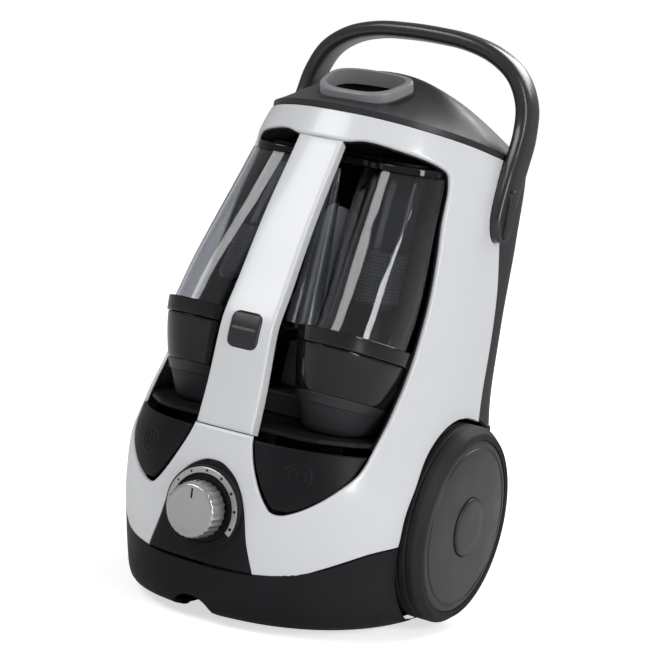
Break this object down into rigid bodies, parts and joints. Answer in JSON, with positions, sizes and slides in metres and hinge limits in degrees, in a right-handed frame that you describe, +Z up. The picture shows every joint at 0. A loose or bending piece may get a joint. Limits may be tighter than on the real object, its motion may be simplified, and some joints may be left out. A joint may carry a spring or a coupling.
{
  "type": "canister vacuum cleaner",
  "caption": "Upright-parking bagless canister vacuum cleaner with twin clear dust cups, two large side wheels, a rear caster, a power knob and a carrying handle.",
  "frame": {"origin": "on the surface it stands on, under the middle of the bounding box", "axes": "+X to the right seen from the front, +Y to the back, +Z up along the body in its parked position; the front with the dust cups faces -Y"},
  "size_m": [0.282, 0.3304, 0.474],
  "materials": {
    "white_body": "glossy white moulded plastic",
    "charcoal": "satin charcoal moulded plastic",
    "black": "satin black moulded plastic",
    "tyre_rubber": "matt dark rubber",
    "silver": "silver painted plastic",
    "steel": "plain steel",
    "smoked": "clear smoked polycarbonate",
    "pale": "light grey plastic",
    "copper": "copper windings on a laminated core",
    "foam": "open-cell foam",
    "paper": "pleated filter paper",
    "board": "green circuit board"
  },
  "bodies": {
    "body": {"axle_left": "steel", "axle_right": "steel", "back_shell": "charcoal", "base_shell": "black", "bin_bay": "black", "circuit_board": "board", "control_panel": "black", "cord_outlet": "black", "exhaust_filter": "paper", "exhaust_grille": "charcoal", "front_shell": "white_body", "handle": "charcoal", "handle_cap_left": "charcoal", "handle_cap_right": "charcoal", "inlet_duct": "black", "inlet_ring": "pale", "motor_filter": "foam", "motor_housing": "black", "motor_seal": "tyre_rubber", "motor_stator": "copper", "potentiometer": "steel", "power_button_spring": "steel", "power_switch": "black", "reel_bracket": "steel", "reel_brake": "tyre_rubber", "rewind_button_spring": "steel", "rewind_lever": "charcoal", "scale_ring": "silver", "top_cover": "charcoal"},
    "bin": {"dust_cup_left": "smoked", "dust_cup_right": "smoked", "cyclone_left": "black", "cyclone_right": "black", "bin_frame": "black", "bin_base": "black", "bin_lid": "charcoal", "lid_seal": "tyre_rubber", "cone": "smoked", "cone_plate": "charcoal", "centre_bar": "white_body", "release_latch": "black", "release_spring": "steel"},
    "release": {"release_button": "charcoal"},
    "knob": {"power_knob": "silver"},
    "power_pad": {"power_button": "black"},
    "rewind_pad": {"rewind_button": "black"},
    "wheel_l": {"wheel_left": "charcoal", "tyre_left": "tyre_rubber", "hub_cap_left": "charcoal"},
    "wheel_r": {"wheel_right": "charcoal", "tyre_right": "tyre_rubber", "hub_cap_right": "charcoal"},
    "caster": {"caster_fork": "charcoal", "caster_pin": "steel"},
    "caster_roller": {"caster_wheel": "tyre_rubber"},
    "motor": {"motor_rotor": "steel", "impeller": "steel"},
    "reel": {"cord_reel": "charcoal"}
  },
  "joints": [
    {"name": "bin_slide", "type": "slide", "parent": "body", "child": "bin", "axis": [0, -1, 0], "range_m": [0, 0.2]},
    {"name": "release_press", "type": "slide", "parent": "bin", "child": "release", "axis": [0, 1, 0], "range_m": [0, 0.003], "stiffness_N_per_m": 300, "springref_m": -0.001},
    {"name": "knob_turn", "type": "hinge", "parent": "body", "child": "knob", "pos_m": [0, -0.14816, 0.0866], "axis": [0, -1, 0], "range_deg": [-120, 120]},
    {"name": "power_press", "type": "slide", "parent": "body", "child": "power_pad", "axis": [-0.4136, 0.9104, 0], "range_m": [0, 0.003], "stiffness_N_per_m": 300, "springref_m": -0.001},
    {"name": "rewind_press", "type": "slide", "parent": "body", "child": "rewind_pad", "axis": [0.4136, 0.9104, 0], "range_m": [0, 0.003], "stiffness_N_per_m": 300, "springref_m": -0.001},
    {"name": "wheel_left_spin", "type": "hinge", "parent": "body", "child": "wheel_l", "pos_m": [-0.12, 0.03214, 0.0861], "axis": [1, 0, 0], "continuous": true},
    {"name": "wheel_right_spin", "type": "hinge", "parent": "body", "child": "wheel_r", "pos_m": [0.12, 0.03214, 0.0861], "axis": [1, 0, 0], "continuous": true},
    {"name": "caster_swivel", "type": "hinge", "parent": "body", "child": "caster", "pos_m": [0, 0.13616, 0.338], "axis": [0, 1, 0], "continuous": true},
    {"name": "caster_roll", "type": "hinge", "parent": "caster", "child": "caster_roller", "pos_m": [0, 0.15316, 0.331], "axis": [1, 0, 0], "continuous": true},
    {"name": "motor_spin", "type": "hinge", "parent": "body", "child": "motor", "pos_m": [0, -0.01316, 0.0653], "axis": [0, 1, 0], "continuous": true},
    {"name": "reel_spin", "type": "hinge", "parent": "body", "child": "reel", "pos_m": [0, 0.08084, 0.262], "axis": [0, 1, 0], "continuous": true}
  ]
}
